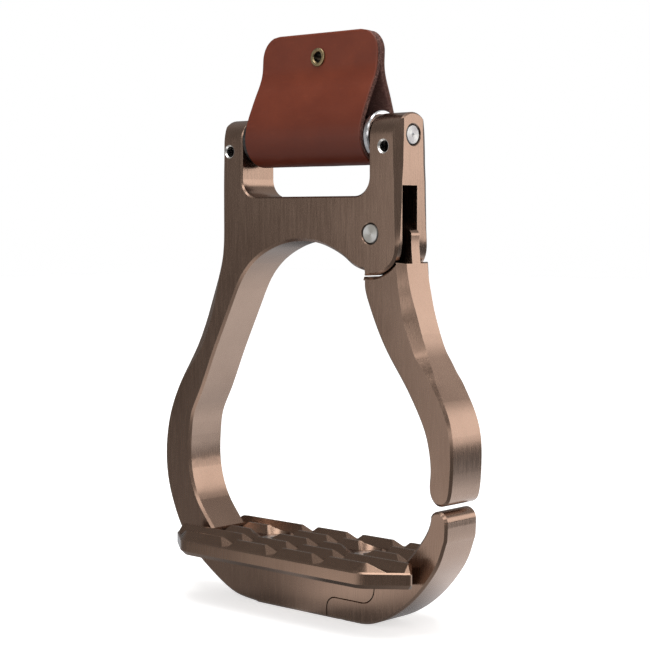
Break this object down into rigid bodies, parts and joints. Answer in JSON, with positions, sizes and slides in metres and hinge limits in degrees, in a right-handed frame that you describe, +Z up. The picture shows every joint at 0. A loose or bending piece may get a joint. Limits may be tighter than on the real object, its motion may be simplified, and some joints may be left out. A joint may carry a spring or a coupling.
{
  "type": "stirrup iron",
  "caption": "Safety stirrup iron with a sprung outward-opening side arm, strap roller with a leather cover, and a wide toothed metal tread.",
  "frame": {"origin": "centre of the flat underside of the base, on the mid-plane of the flat bar", "axes": "+X across the foot opening towards the release arm, -Y is the front, +Z up towards the strap roller"},
  "size_m": [0.1485, 0.049, 0.2184],
  "materials": {
    "bronze_anodised": "satin brushed, bronze anodised",
    "bronze_tread": "machined, bronze anodised",
    "stainless": "satin stainless",
    "turned_pin": "fine turned end grain",
    "bush_polymer": "bronze-filled bearing polymer",
    "spring_steel": "dark oil-tempered wire",
    "black_oxide": "black oxide",
    "polished_steel": "polished",
    "leather": "smooth chestnut leather with raw cut edges",
    "antique_brass": "antique brass"
  },
  "bodies": {
    "frame": {"main_frame": "bronze_anodised", "lower_hook": "bronze_anodised", "lap_joint_screws": "stainless", "lap_joint_dowels": "stainless", "tread_plate": "bronze_tread", "tread_screws": "stainless", "tread_screw_inserts": "stainless", "hinge_pin": "turned_pin", "roller_axle": "turned_pin", "axle_set_screws": "black_oxide", "thrust_washer_left": "polished_steel", "thrust_washer_right": "polished_steel"},
    "release_arm": {"release_arm": "bronze_anodised", "hinge_bush": "bush_polymer", "arm_return_spring": "spring_steel"},
    "roller": {"roller_sleeve": "polished_steel", "roller_bush_left": "bush_polymer", "roller_bush_right": "bush_polymer"},
    "leather_cover": {"leather_cover": "leather", "cover_eyelet": "antique_brass", "eyelet_washer": "antique_brass"}
  },
  "joints": [
    {"name": "arm_release", "type": "hinge", "parent": "frame", "child": "release_arm", "pos_m": [0.033, 0, 0.1436], "axis": [0, -1, 0], "range_deg": [0, 65], "stiffness_Nm_per_rad": 0.6, "springref_deg": -20.05, "deforming": ["arm_return_spring"]},
    {"name": "roller_spin", "type": "hinge", "parent": "frame", "child": "roller", "pos_m": [0, 0, 0.1791], "axis": [1, 0, 0], "continuous": true},
    {"name": "cover_swing", "type": "hinge", "parent": "frame", "child": "leather_cover", "pos_m": [0, 0, 0.1791], "axis": [1, 0, 0], "range_deg": [-95, 95]}
  ]
}
